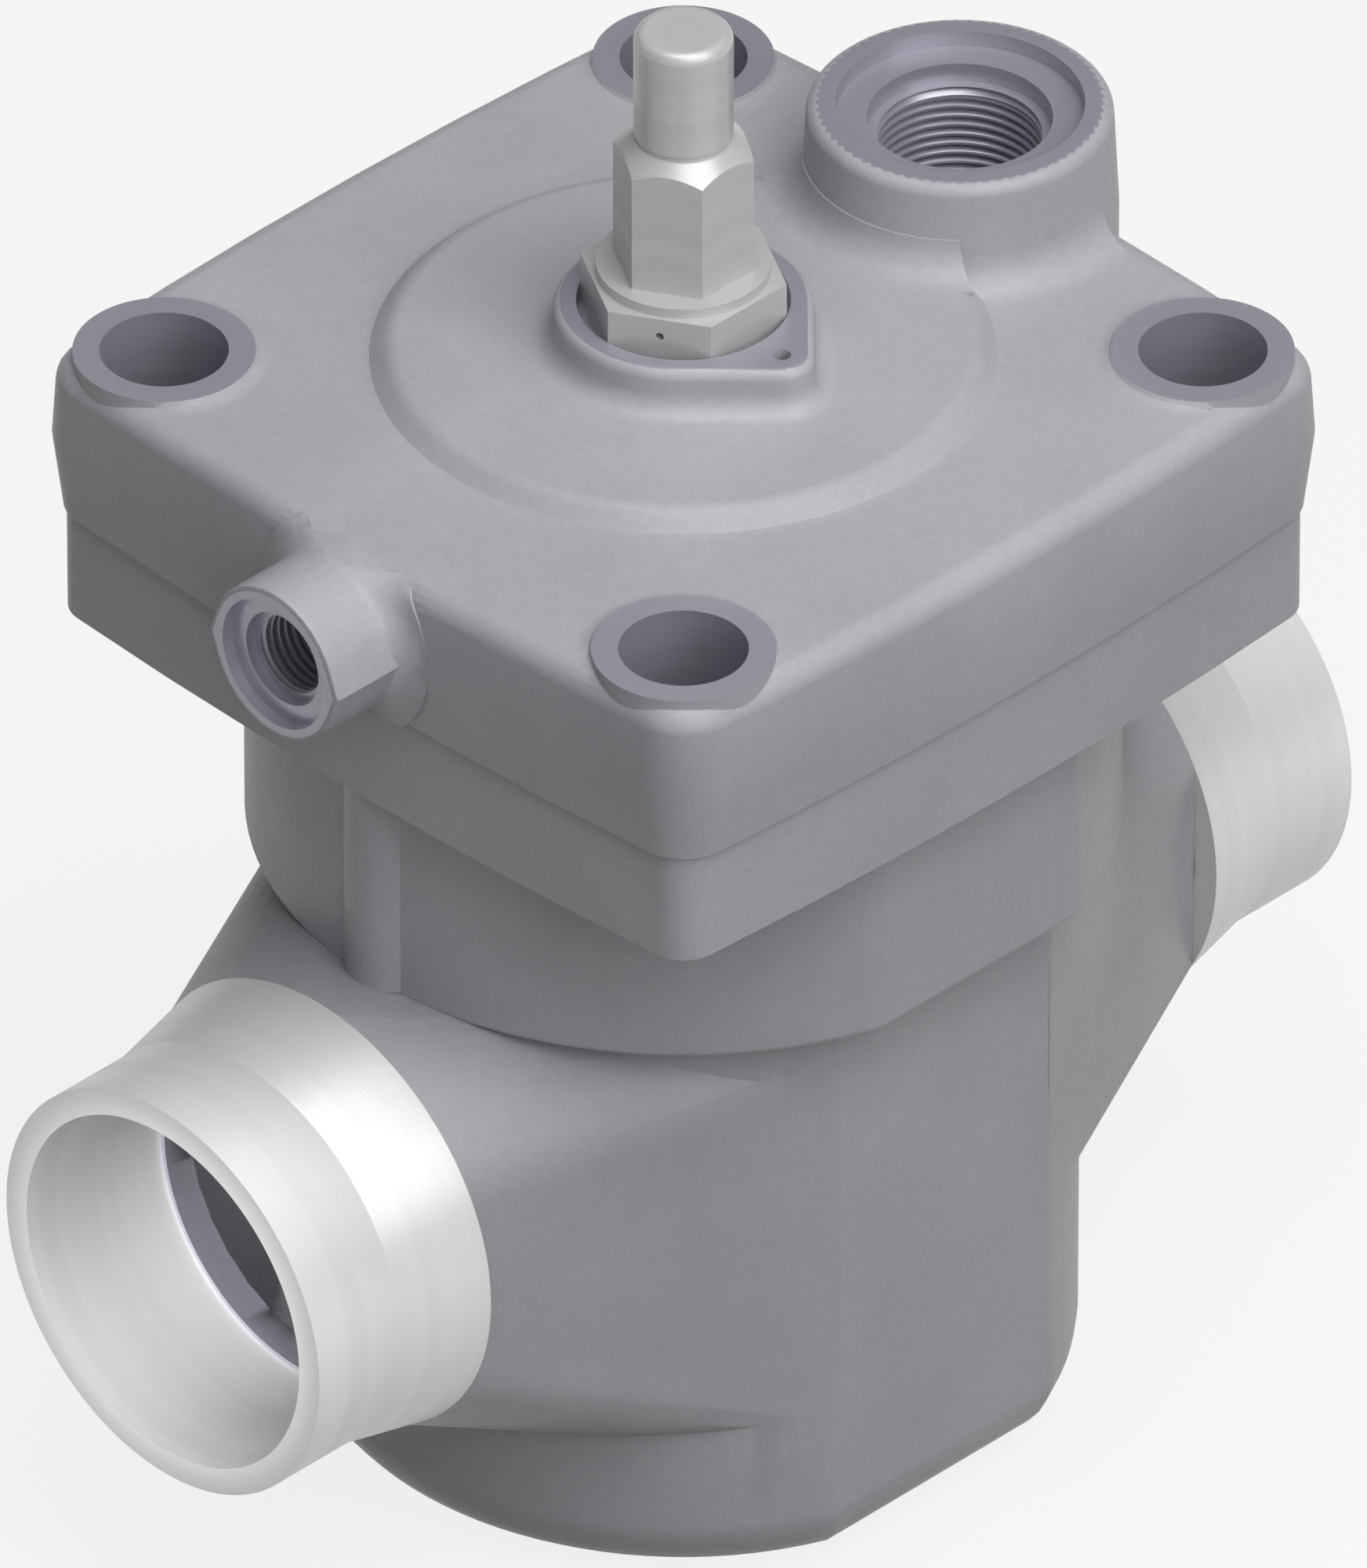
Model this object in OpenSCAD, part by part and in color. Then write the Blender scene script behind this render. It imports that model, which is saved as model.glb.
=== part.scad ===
// Pilot-operated servo valve, size 50, with butt-weld ends.
// The origin is on the spindle axis at the flat bottom face, +Z up, pipe along X, inlet at -X.

/* [Pipe ends] */
// Outside diameter of the weld tube
tube_od = 60.3; // [57:0.1:62]
// Wall of the weld tube
tube_wall = 3.9; // [2.9:0.1:5.5]
// Length over both weld ends
face_to_face = 198.7; // [192:0.1:216]
// Length of one weld stub, outside
stub_len = 29.5; // [26:0.1:34]
// Straight length at the end of a stub
stub_land = 15.1; // [8:0.1:20]
// Diameter of a stub where it meets the casting
stub_root_d = 66.3; // [64:0.1:68]
// Length of the casting's centring spigot inside a stub
spigot_len = 4.1; // [2.5:0.1:6]
// Wall of that spigot
spigot_wall = 3.4; // [2.5:0.1:4]

/* [Body casting] */
// Height of the pipe axis over the bottom face
port_z = 61.3; // [58:0.1:70]
// Pipe axis to the joint with the cover
body_up = 81.1; // [78:0.1:90]
// Radius of the lower barrel
barrel_r = 54; // [52:0.1:56]
// Depth of the two flats of the lower barrel
barrel_flat_in = 3.9; // [2.5:0.1:5]
// Rounding of the bottom edge
bottom_round = 10; // [4:0.5:12]
// Thickness of the round barrel wall
barrel_wall = 10; // [8:0.1:11]
// Thickness of the floor
floor_t = 8.3; // [6:0.1:12]
// Step of the collar out from the barrel, under the flange
collar_out = 5.6; // [4.5:0.1:6.5]
// Depth of the two flats of the collar
collar_flat_in = 2.9; // [2:0.1:4]
// Height of the collar, below the flange
collar_h = 32.1; // [26:0.1:36]
// Thickness of the square flange
flange_t = 16.9; // [14:0.1:20]
// Half width of the flange at mid side
flange_mid = 62.6; // [61.5:0.1:66]
// Corner radius of the flange
flange_corner = 5.5; // [3:0.1:8]
// Radius of the rib over the pressure channel
rib_r = 7; // [6:0.1:8]
// Pressure channel to the spindle axis
channel_x = 54.9; // [54:0.1:56]
// Diameter of the pressure channel
channel_d = 5; // [4:0.1:5.5]

/* [Branches] */
// Half width of a branch where it runs into the barrel
branch_w = 46.8; // [44:0.1:48]
// Half width of a branch over its flattened end
branch_end_w = 28.9; // [28.5:0.1:31]
// Height of the inlet branch over the pipe axis, inside the barrel
branch_up = 27.2; // [27:0.1:30]
// Depth of the inlet branch under the pipe axis, inside the barrel
branch_down = 39; // [36:0.1:40]
// Depth of the inlet branch half way to its end
branch_belly = 35.8; // [35:0.1:37.5]
// Rounding of the upper edges of the inlet branch
branch_round = 6.7; // [4:0.1:9]
// Rounding of its lower edges half way to its end
belly_round = 10; // [6:0.5:12]
// Half width of the flow passage at the barrel
passage_w = 34; // [30:0.5:36]
// Reach of the two passages below and above the pipe axis, at the barrel
passage_h = 29; // [26:0.5:30]
// Thickness of the wall between inlet and outlet chamber
web_t = 8; // [6:0.1:9]
// Height of the outlet chamber over the pipe axis
chamber_h = 30; // [29.5:0.1:31]

/* [Cover casting] */
// Height of the cover at its flat top
cover_h = 23.8; // [22:0.1:28]
// Joint plane to the mould parting line
parting_h = 11.6; // [11:0.1:12.4]
// Half width of the cover at mid side, on the parting line
cover_mid = 64.8; // [63.5:0.1:67]
// Corner radius of the cover
cover_corner = 8.6; // [7:0.1:11]
// Radius of the slightly bowed sides of cover and flange
side_bow = 740; // [600:10:1200]
// Mould draft of the cover sides, degrees
draft = 7; // [3:0.5:9]
// Rounding of the top edge
edge_round = 3.8; // [2:0.1:5]
// Circle through the four bolt holes
bolt_pcd = 140; // [138:0.1:142]
// Diameter of the bolt holes in the cover
bolt_hole_d = 17.5; // [16.5:0.1:18]
// Minor diameter of the tapped bolt holes in the body
bolt_tap_d = 13.8; // [12:0.1:14.5]
// Diameter of the bolt seat faces
bolt_boss_d = 24.8; // [23:0.1:26]
// Height of the bolt seat faces over the top
bolt_boss_h = 1; // [0.5:0.1:2]
// Radius of the round plateau
plateau_r = 41.6; // [40:0.1:43]
// Height of the plateau
plateau_h = 2.8; // [2.2:0.1:4]

/* [Spindle boss] */
// Radius of the drop-shaped boss
drop_r = 17.65; // [17:0.05:19]
// Radius of the pointed end of that boss
drop_tip_r = 4.5; // [3.5:0.1:6]
// Height of that boss over the plateau
drop_h = 6.5; // [5:0.1:9]
// Diameter of the sealing-wire hole
wire_hole_d = 2.5; // [1.5:0.1:3]
// Depth of the pocket that the gland nut sinks into
gland_pocket = 3; // [2:0.1:4]

/* [Pilot port] */
// Pilot port axis to the spindle axis
pilot_x = 52.9; // [52:0.1:54]
// Height of the pilot boss over the cover top
pilot_h = 15.9; // [14:0.1:20]
// Radius of the pilot boss at its face
pilot_boss_r = 20.9; // [20.4:0.1:22]
// Rounding of the face edge
pilot_round = 1.8; // [0.8:0.1:2.5]
// Blend of the boss into the cover top
pilot_blend = 5; // [3:0.5:6]
// Radius of the upper seal recess
pilot_cb_r = 16.95; // [16:0.05:17.5]
// Depth of the upper seal recess
pilot_cb_d = 2.4; // [1.5:0.1:3]
// Radius of the thread relief
pilot_relief_r = 12.6; // [12.3:0.1:14]
// Depth of the thread relief
pilot_relief_d = 2.8; // [1.5:0.1:4]
// Minor diameter of the pilot thread, M24 x 1.5
pilot_tap_d = 22.376; // [21.9:0.001:22.6]
// Length of the pilot thread
pilot_tap_len = 14; // [10:0.1:16]

/* [Gauge port] */
// Face of the gauge boss to the spindle axis
gauge_x = 77.8; // [75:0.1:82]
// Radius of the gauge boss
gauge_boss_r = 11.6; // [11:0.1:11.6]
// Blend of the gauge boss into the side of the cover
gauge_blend = 4.5; // [2:0.1:5]
// Radius of the seal face
gauge_cb_r = 9.6; // [9:0.1:10]
// Depth of the seal face
gauge_cb_d = 1.8; // [1:0.1:2.5]
// Radius of the thread relief
gauge_relief_r = 6.9; // [6.7:0.1:8]
// Depth of the thread relief
gauge_relief_d = 1.6; // [1:0.1:2.5]
// Minor diameter of the gauge thread, G 1/4
gauge_tap_d = 11.445; // [11.2:0.005:11.6]
// Length of the gauge thread
gauge_tap_len = 12; // [9:0.1:13]

/* [Function module] */
// Radius of the bore that holds the module
module_r = 43; // [42:0.1:43.5]
// Radius of the module's head flange
head_r = 47; // [46:0.1:48]
// Thickness of the head flange
head_t = 5; // [4:0.1:7]
// Bore of the servo cylinder, radius
piston_r = 36; // [34:0.1:37]
// Height of the servo piston
piston_h = 18; // [16:0.1:20]
// Opening stroke of the piston
stroke = 12; // [9:0.1:12.5]
// Step of the window cage out from the nose
cage_step = 4; // [2.5:0.1:5]
// Wall of the window cage
cage_wall = 5; // [3.5:0.1:5.5]
// Height of the cage windows
window_h = 20; // [14:0.1:21]
// Width of the cage windows
window_w = 24; // [20:0.1:25]
// Number of cage windows
window_n = 6; // [4:1:6]
// Wall of the nose that seals in the web
nose_wall = 5; // [4.5:0.1:6]
// Radius of the seat opening
seat_r = 25; // [23:0.1:25.5]
// Reach of the nose below the web
nose_reach = 3.3; // [2.5:0.1:5]
// Radius of the piston rod
rod_r = 8; // [7:0.1:9]
// Radius of the rod's threaded ends
rod_end_r = 6; // [5:0.1:6.5]
// Wall of the guide bush
bush_wall = 2; // [1.5:0.1:2.5]
// Thickness of the guide wall
guide_t = 9; // [8:0.1:10]
// Thickness of the soft seat disc
seat_t = 3; // [2:0.1:4]
// Thickness of the seat retainer
retainer_t = 5; // [4:0.1:7]
// Width across the flats of the rod nuts
rod_nut_af = 20; // [18:0.5:22]
// Height of the rod nuts
rod_nut_h = 5; // [4:0.1:6]
// Wire diameter of the closing spring
spring_wire = 2.6; // [2:0.1:2.8]
// Mean radius of the closing spring
spring_r = 22.5; // [20:0.1:24]
// Turns of the closing spring
spring_turns = 4.25; // [3.5:0.25:4.25]

/* [Spindle and cap] */
// Way of the spindle down to the closed piston
spindle_travel = 6; // [4:0.1:6.5]
// Radius of the spindle thread and seal land
spindle_land_r = 7; // [6.5:0.1:7.3]
// Radius of the spindle's upper rod
spindle_r = 5; // [4.5:0.1:5.2]
// Square at the top of the spindle, across the flats
spindle_square = 7; // [6:0.1:7.3]
// Radius of the gland nut's threaded shank
gland_r = 10; // [9.5:0.1:10.5]
// Length of that shank
gland_shank = 12.5; // [11:0.1:14]
// Gland nut across the flats
gland_af = 24.9; // [24:0.1:24.9]
// Height of the gland nut's hexagon over the boss
gland_up = 4.9; // [3:0.1:7]
// Radius of the sleeve that the cap screws on to
sleeve_r = 7; // [6.7:0.1:7.2]
// Length of that sleeve
sleeve_len = 9.6; // [8:0.1:12]
// Diameter of the cap washer
washer_d = 23.7; // [21:0.1:24.5]
// Thickness of the cap washer
washer_t = 1.5; // [1:0.1:2.5]
// Cap across the flats
cap_af = 17; // [16.5:0.1:18]
// Height of the cap's hexagon at its corners
cap_hex_h = 17.7; // [15:0.1:20]
// Diameter of the cap's round end
cap_end_d = 13.5; // [13:0.1:14.5]
// Height of the whole cap
cap_h = 37.4; // [36:0.1:44]
// Rounding of the cap's end
cap_round = 1.55; // [0.5:0.05:2]

/* [Fits] */
// Radial clearance of a running or seated fit
fit_gap = 0.05; // [0.03:0.01:0.08]
// Free space between faces that move apart
free_gap = 0.3; // [0.2:0.05:0.5]
// Thickness of the cover gasket
gasket_t = 1.5; // [1:0.1:2]

/* [Hidden] */
$fn = 96;
// Overshoot of a cut past the face that it opens
cut = 1;

// Pipe ends
end_x = face_to_face / 2;
branch_x = end_x - stub_len;
spigot_x = branch_x + spigot_len;
tube_r = tube_od / 2;
bore_r = tube_r - tube_wall;
spigot_bore_r = bore_r - 0.7;
spigot_r = spigot_bore_r + spigot_wall;

// Heights of the body
joint_z = port_z + body_up;
flange_z = joint_z - flange_t;
collar_z = flange_z - collar_h;
web_bottom = port_z - web_t / 2;
web_top = port_z + web_t / 2;
chamber_top = port_z + chamber_h;
chamber_r = barrel_r - barrel_wall;
barrel_flat = barrel_r - barrel_flat_in;
collar_r = barrel_r + collar_out;
collar_flat = collar_r - collar_flat_in;
inner_round = max(2, bottom_round - 3);

// Cover
cover_top = joint_z + cover_h;
parting_z = joint_z + parting_h;
plateau_top = cover_top + plateau_h;
drop_top = plateau_top + drop_h;
bolt_xy = bolt_pcd / 2 / sqrt(2);
bolt_boss_r = bolt_boss_d / 2;
edge_start = cover_top - edge_round * cos(draft);
top_inset = (edge_start - parting_z) * tan(draft) + edge_round * (1 - sin(draft));
gasket_r = bolt_pcd / 2 - bolt_hole_d / 2 - 1.3;
gasket_bore = piston_r + 5;
recess_z = joint_z + gasket_t;
dome_r = piston_r + 1;
dome_z = joint_z + 9.6;
hub_z = joint_z + 4.6;
hub_r = spindle_land_r + 5;
drop_tip_y = (drop_r - drop_tip_r) * sqrt(2);

// Ports
pilot_top = cover_top + pilot_h;
pilot_tap_r = pilot_tap_d / 2;
pilot_tap_top = pilot_top - pilot_cb_d - pilot_relief_d;
pilot_tap_end = pilot_tap_top - pilot_tap_len;
gauge_tap_r = gauge_tap_d / 2;
gauge_tap_x = gauge_x - gauge_cb_d - gauge_relief_d;

// Function module
nose_r = seat_r + nose_wall;
cage_r = nose_r + cage_step;
module_or = module_r - fit_gap;
shoulder_z = chamber_top + 1.7;
cage_bottom = web_top + 1;
cage_bore = cage_r - cage_wall;
nose_or = nose_r - fit_gap;
seat_z = web_bottom - nose_reach;
guide_top = shoulder_z + 10;
guide_bottom = guide_top - guide_t;
bush_r = rod_r + fit_gap + bush_wall;
bush_bottom = guide_top - guide_t + 1.5;
window_z = (cage_bottom + shoulder_z) / 2 - 0.5;
module_seal_r = 1.5;
module_seal_z = shoulder_z + 6;
nose_seal_z = port_z;

// Piston, rod and cone
washer_top = guide_top + 1.2;
piston_bottom = washer_top + stroke + 1.8;
piston_top = piston_bottom + piston_h;
piston_or = piston_r - fit_gap;
crown_t = 7;
crown_under = piston_top - crown_t;
piston_bore = piston_or - 7;
ring_h = 3;
ring_depth = 2.6;
ring_pitch = 6;
ring_z = piston_top - ring_h - 4;
rod_top = piston_top + rod_nut_h + 1;
cone_or = seat_r - 0.4;
disc_top = seat_z - free_gap;
disc_bottom = disc_top - seat_t;
cone_spigot_r = cone_or - 3.6;
cone_top = seat_z + stroke;
cone_hub_top = disc_top + 6.3;
retainer_r = nose_r - 1.2;
retainer_bottom = disc_bottom - retainer_t;
spanner_x = (retainer_r - 3 + rod_nut_af / 2) / 2;
rod_bottom = retainer_bottom - rod_nut_h - 1.5;

// Spindle, gland and cap
gland_floor = drop_top - gland_pocket;
gland_bottom = gland_floor - gland_shank;
gland_pocket_r = gland_af / 2 / cos(30) + 0.13;
gland_top = drop_top + gland_up;
gland_seal_r = 1;
backseat_z = gland_floor - 1.5;
spindle_tip = rod_top + spindle_travel + free_gap;
land_top = backseat_z - free_gap;
spindle_seal_r = 0.85;
spindle_seal_z = land_top - 2;
sleeve_top = gland_top + sleeve_len;
washer_z = gland_top + washer_t;
cap_top = washer_z + cap_h;
cap_roof = cap_top - 3.5;
spindle_top = cap_roof - 2.8;
square_len = 13;
cap_end_r = cap_end_d / 2;
cap_corner_z = washer_z + cap_hex_h;

// Points of an arc in the plane, from angle a0 to a1
function arc(cx, cy, r, a0, a1, n) =
    [for (i = [0:n]) let (a = a0 + (a1 - a0) * i / n) [cx + r * cos(a), cy + r * sin(a)]];

// Points turned about the origin
function turned(pts, a) =
    [for (p = pts) [p[0] * cos(a) - p[1] * sin(a), p[0] * sin(a) + p[1] * cos(a)]];

// Square with bowed sides and tangent corner arcs, moved inwards by inset
function bowed_square(mid, bow, corner, inset) =
    let (
        m = mid - inset,
        b = bow - inset,
        c = corner - inset,
        o = b - m,
        g = (sqrt(2 * pow(b - c, 2) - o * o) - o) / 2,
        f = atan2(g, g + o),
        side = [for (i = [0:5]) let (a = -f + 2 * f * i / 6) [b * cos(a) - o, b * sin(a)]],
        round = [for (i = [0:7]) let (a = f + (90 - 2 * f) * i / 8) [g + c * cos(a), g + c * sin(a)]]
    )
    [for (q = [0:3]) each turned(concat(side, round), 90 * q)];

// Drop outline, its point towards -Y, moved outwards by grow
function drop(grow) = concat(
    arc(0, 0, drop_r + grow, -45, 225, 30),
    arc(0, -drop_tip_y, drop_tip_r + grow, 225, 315, 6));

// Round outline of the gauge boss, its flanks drawn out to the parting line, moved outwards by grow
function gauge_outline(grow) = let (r = gauge_boss_r + grow, lean = 20) concat(
    [[0, r / cos(lean)]], arc(0, 0, r, 90 + lean, 270 - lean, 14),
    [[0, -r / cos(lean)]], arc(0, 0, r, lean - 90, 90 - lean, 14));

// Solid through equal outlines, each given as [height, points]
module skin(levels) {
    n = len(levels[0][1]);
    m = len(levels);
    points = [for (l = levels) for (p = l[1]) [p[0], p[1], l[0]]];
    sides = [for (k = [0:m - 2]) for (i = [0:n - 1]) let (j = (i + 1) % n)
        each [[k * n + i, (k + 1) * n + i, (k + 1) * n + j], [k * n + i, (k + 1) * n + j, k * n + j]]];
    caps = [[for (i = [0:n - 1]) i], [for (i = [n - 1:-1:0]) (m - 1) * n + i]];
    polyhedron(points, concat(sides, caps));
}

// Cylinder between two heights on the spindle axis
module post(r, z0, z1) {
    translate([0, 0, z0]) cylinder(r = r, h = z1 - z0);
}

// Tube between two heights on the spindle axis
module tube(r_out, r_in, z0, z1) {
    translate([0, 0, z0]) difference() {
        cylinder(r = r_out, h = z1 - z0);
        translate([0, 0, -cut]) cylinder(r = r_in, h = z1 - z0 + 2 * cut);
    }
}

// Hexagonal prism with corners on the X axis
module hexagon(af, z0, z1) {
    translate([0, 0, z0]) cylinder(r = af / 2 / cos(30), h = z1 - z0, $fn = 6);
}

// Round bar along X, from x0 to x1, at height z
module bar_x(r, x0, x1, z) {
    translate([x0, 0, z]) rotate([0, 90, 0]) cylinder(r = r, h = x1 - x0);
}

// Ring seal on the spindle axis
module ring_seal(mean_r, section_r, z) {
    translate([0, 0, z]) rotate_extrude() translate([mean_r, 0]) circle(r = section_r, $fn = 24);
}

// Groove for a ring seal in a shaft of radius r
module seal_groove(r, section_r, z) {
    tube(r + cut, r - 2 * section_r - 0.05, z - section_r - 0.15, z + section_r + 0.15);
}

// Moves its children to the four bolt axes
module at_bolts() {
    for (x = [-1, 1], y = [-1, 1]) translate([x * bolt_xy, y * bolt_xy, 0]) children();
}

// Outline in the Y-Z plane, drawn out along X
module section_x(x0, x1, points) {
    translate([x0, 0, 0]) rotate([90, 0, 90]) linear_extrude(x1 - x0) polygon(points);
}

// Barrel and collar half section, with radius r below and r_up above
function barrel_side(r, r_up) = concat(
    arc(r - bottom_round, bottom_round, bottom_round, -90, 0, 6),
    [for (p = arc(1, 0, 1, 180, 90, 6)) [r + p[0] * (r_up - r - 0.4), collar_z - collar_out + p[1] * (collar_out - 0.8)]],
    [[r_up, collar_z], [r_up, joint_z - 5]]);

module barrel_solid() {
    round_side = barrel_side(barrel_r, collar_r);
    flat_side = barrel_side(barrel_flat, collar_flat);
    intersection() {
        rotate_extrude() polygon(concat(round_side, [[0, joint_z - 5], [0, 0]]));
        section_x(-collar_r - cut, collar_r + cut, both_sides(flat_side));
    }
}

// Right half of an outline in the Y-Z plane, closed by its mirror image
function both_sides(half) = concat(half, [for (i = [len(half) - 1:-1:0]) [-half[i][0], half[i][1]]]);

// Branch from the barrel to the stub at +X about the pipe axis, its flat sides reaching lowest at the barrel
module branch_solid() {
    root_r = stub_root_d / 2;
    barrel_x = sqrt(pow(barrel_r, 2) - pow(branch_w, 2));
    side_slope = (branch_w - branch_end_w) / (branch_x - barrel_x);
    // the section is drawn inside the barrel, so that the flat sides run out on its round wall
    inner_x = barrel_x - 7;
    inner_w = branch_w + 7 * side_slope;
    lower_r = 2.6;
    side_low = lower_r - branch_down;
    side_high = branch_up - branch_round;
    side_bulge = 0.5;
    belly_x = (branch_x + inner_x) / 2;
    belly_w = (branch_end_w + inner_w) / 2;
    hull() {
        section_x(branch_x - 0.01, branch_x, [for (a = [0:7.5:359])
            [max(-branch_end_w, min(branch_end_w, root_r * cos(a))), root_r * sin(a)]]);
        section_x(belly_x, belly_x + 0.01, both_sides(
            arc(belly_w - belly_round, belly_round - branch_belly, belly_round, -90, 0, 6)));
        section_x(inner_x, inner_x + 0.5, both_sides(concat(
            arc(inner_w - lower_r, side_low, lower_r, -90, 0, 3),
            [for (i = [1:5]) [inner_w + side_bulge * (1 - pow(i / 3 - 1, 2)), side_low + (side_high - side_low) * i / 6]],
            arc(inner_w - branch_round, side_high, branch_round, 0, 90, 6))));
    }
    bar_x(spigot_r, branch_x - cut, spigot_x, 0);
}

// Flow passage from the spigot at +X into the chamber between z0 and z1, measured from the pipe axis
module passage(z0, z1) {
    corner = 8;
    bar_x(spigot_bore_r, branch_x - cut, spigot_x + cut, 0);
    hull() {
        translate([branch_x - cut, 0, 0]) rotate([0, 90, 0]) cylinder(r = spigot_bore_r, h = 0.5, $fn = 32);
        section_x(chamber_r - 8, chamber_r + 2, both_sides(concat(
            arc(passage_w - corner, z0 + corner, corner, -90, 0, 5),
            arc(passage_w - corner, z1 - corner, corner, 0, 90, 5))));
    }
}

module valve_body() color([0.56, 0.56, 0.58]) {
    difference() {
        union() {
            barrel_solid();
            translate([0, 0, flange_z]) linear_extrude(flange_t)
                polygon(bowed_square(flange_mid, side_bow, flange_corner, 0));
            translate([-channel_x, 0, collar_z]) cylinder(r = rib_r, h = collar_h + cut);
            translate([0, 0, port_z]) mirror([1, 0, 0]) branch_solid();
            // the outlet branch is the inlet branch turned over
            translate([0, 0, port_z]) mirror([0, 0, 1]) branch_solid();
        }
        // inlet chamber below, outlet chamber above and the bores for the module
        rotate_extrude() polygon(concat(
            [[0, floor_t]],
            arc(chamber_r - inner_round, floor_t + inner_round, inner_round, -90, 0, 6),
            [[chamber_r, web_bottom - 3], [chamber_r - 3, web_bottom], [nose_r, web_bottom],
             [nose_r, web_top], [chamber_r - 3, web_top], [chamber_r, web_top + 3],
             [chamber_r, chamber_top], [module_r, chamber_top + 0.8], [module_r, joint_z - head_t],
             [head_r + fit_gap, joint_z - head_t], [head_r + fit_gap, joint_z + cut], [0, joint_z + cut]]));
        translate([0, 0, port_z]) mirror([1, 0, 0]) passage(-passage_h, -web_t / 2);
        translate([0, 0, port_z]) passage(web_t / 2, passage_h);
        // pressure channel from the inlet passage up through the rib
        translate([-channel_x, 0, port_z - 3]) cylinder(d = channel_d, h = joint_z);
        at_bolts() translate([0, 0, flange_z - cut]) cylinder(d = bolt_tap_d, h = flange_t + 2 * cut);
    }
}

// Weld stub at +X, seated on the casting's spigot
module weld_stub() {
    rotate([90, 0, 90]) rotate_extrude() polygon([
        [spigot_r + fit_gap, branch_x], [stub_root_d / 2, branch_x], [tube_r, end_x - stub_land],
        [tube_r, end_x], [bore_r, end_x], [bore_r, spigot_x], [spigot_r + fit_gap, spigot_x]]);
}

module outlet_weld_stub() color([0.86, 0.86, 0.87]) translate([0, 0, port_z]) weld_stub();

module inlet_weld_stub() color([0.86, 0.86, 0.87]) translate([0, 0, port_z]) mirror([1, 0, 0]) weld_stub();

// Cover block with drafted sides and a rounded top edge
module cover_block() {
    steps = 5;
    skin(concat(
        [[joint_z, bowed_square(cover_mid, side_bow, cover_corner, parting_h * tan(draft))],
         [parting_z, bowed_square(cover_mid, side_bow, cover_corner, 0)]],
        [for (i = [0:steps]) let (a = draft + (90 - draft) * i / steps)
            [cover_top - edge_round * (1 - sin(a)),
             bowed_square(cover_mid, side_bow, cover_corner,
                top_inset - edge_round * cos(a))]]));
}

// Fillet ring between a round boss of radius r and a plane at height z
module blend_ring(r, fillet, z) {
    translate([0, 0, z]) rotate_extrude() polygon(concat(
        [[r - 2, -1], [r - 2, fillet]], arc(r + fillet, fillet, fillet, 180, 270, 6), [[r + fillet, -1]]));
}

module bolt_bosses() {
    at_bolts() post(bolt_boss_r, cover_top - 5, cover_top + bolt_boss_h);
    intersection() {
        at_bolts() translate([0, 0, cover_top]) rotate_extrude() polygon([
            [bolt_boss_r - 1, -1], [bolt_boss_r - 1, bolt_boss_h], [bolt_boss_r, bolt_boss_h],
            [bolt_boss_r + 0.35, bolt_boss_h * 0.5], [bolt_boss_r + 1.1, bolt_boss_h * 0.16],
            [bolt_boss_r + 2.2, 0], [bolt_boss_r + 2.2, -1]]);
        translate([0, 0, cover_top - 0.9]) linear_extrude(bolt_boss_h + 1.9)
            polygon(bowed_square(cover_mid, side_bow, cover_corner, top_inset));
    }
}

module plateau() {
    rotate_extrude() polygon(concat(
        [[0, cover_top - 2]],
        [[plateau_r + 2.2, cover_top - 2], [plateau_r + 2.2, cover_top], [plateau_r + 0.8, cover_top + 0.25]],
        [[plateau_r, cover_top + 0.9], [plateau_r - 1, cover_top + plateau_h - 0.85]],
        [[plateau_r - 2, cover_top + plateau_h - 0.2], [plateau_r - 3.2, plateau_top], [0, plateau_top]]));
}

module drop_boss() {
    foot = 3;
    shoulder = 1.5;
    skin(concat(
        [[plateau_top - 1, drop(foot)]],
        [for (a = [0:18:90]) [plateau_top + foot * (1 - cos(a)), drop(foot * (1 - sin(a)))]],
        [for (a = [0:22.5:90]) [drop_top - shoulder * (1 - sin(a)), drop(shoulder * (cos(a) - 1))]]));
}

module pilot_boss() {
    taper = tan(3);
    wall_r = pilot_boss_r + (pilot_h - pilot_round) * taper;
    // corbel under the part of the boss that overhangs the side of the cover
    translate([pilot_x, 0, 0]) rotate_extrude() polygon(concat(
        [[0, joint_z + 0.5], [cover_mid - pilot_x - 2.5, joint_z + 0.5], [wall_r, cover_top - 6]],
        [[wall_r, cover_top]],
        arc(pilot_boss_r - pilot_round, pilot_top - pilot_round, pilot_round, 0, 90, 5),
        [[0, pilot_top]]));
    intersection() {
        translate([pilot_x, 0, 0]) blend_ring(wall_r - 0.1, pilot_blend, plateau_top);
        post(plateau_r - 1, cover_top, plateau_top + pilot_blend + cut);
    }
    intersection() {
        translate([pilot_x, 0, 0]) blend_ring(wall_r - 0.2, pilot_blend, cover_top);
        translate([0, 0, cover_top - 0.9]) linear_extrude(pilot_blend + 2)
            polygon(bowed_square(cover_mid, side_bow, cover_corner, top_inset));
    }
}

module gauge_boss() {
    foot_r = gauge_boss_r + gauge_blend - 0.2;
    translate([0, 0, parting_z]) rotate([0, -90, 0]) skin([
        [channel_x, gauge_outline(0)], [gauge_x - 0.8, gauge_outline(0)],
        [gauge_x - 0.25, gauge_outline(-0.25)], [gauge_x, gauge_outline(-0.8)]]);
    // blend on the drafted side, trimmed to the height of the cover
    intersection() {
        translate([0, 0, parting_z]) rotate([0, -90, 0]) rotate_extrude() polygon(concat(
            [[0, channel_x]],
            [[foot_r, channel_x]],
            arc(foot_r, cover_mid + gauge_blend - 0.4, gauge_blend, 270, 180, 6),
            [[0, cover_mid + gauge_blend - 0.4]]));
        translate([-gauge_x, -foot_r, joint_z]) cube([gauge_x - channel_x, 2 * foot_r, cover_h - 0.2]);
    }
}

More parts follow.
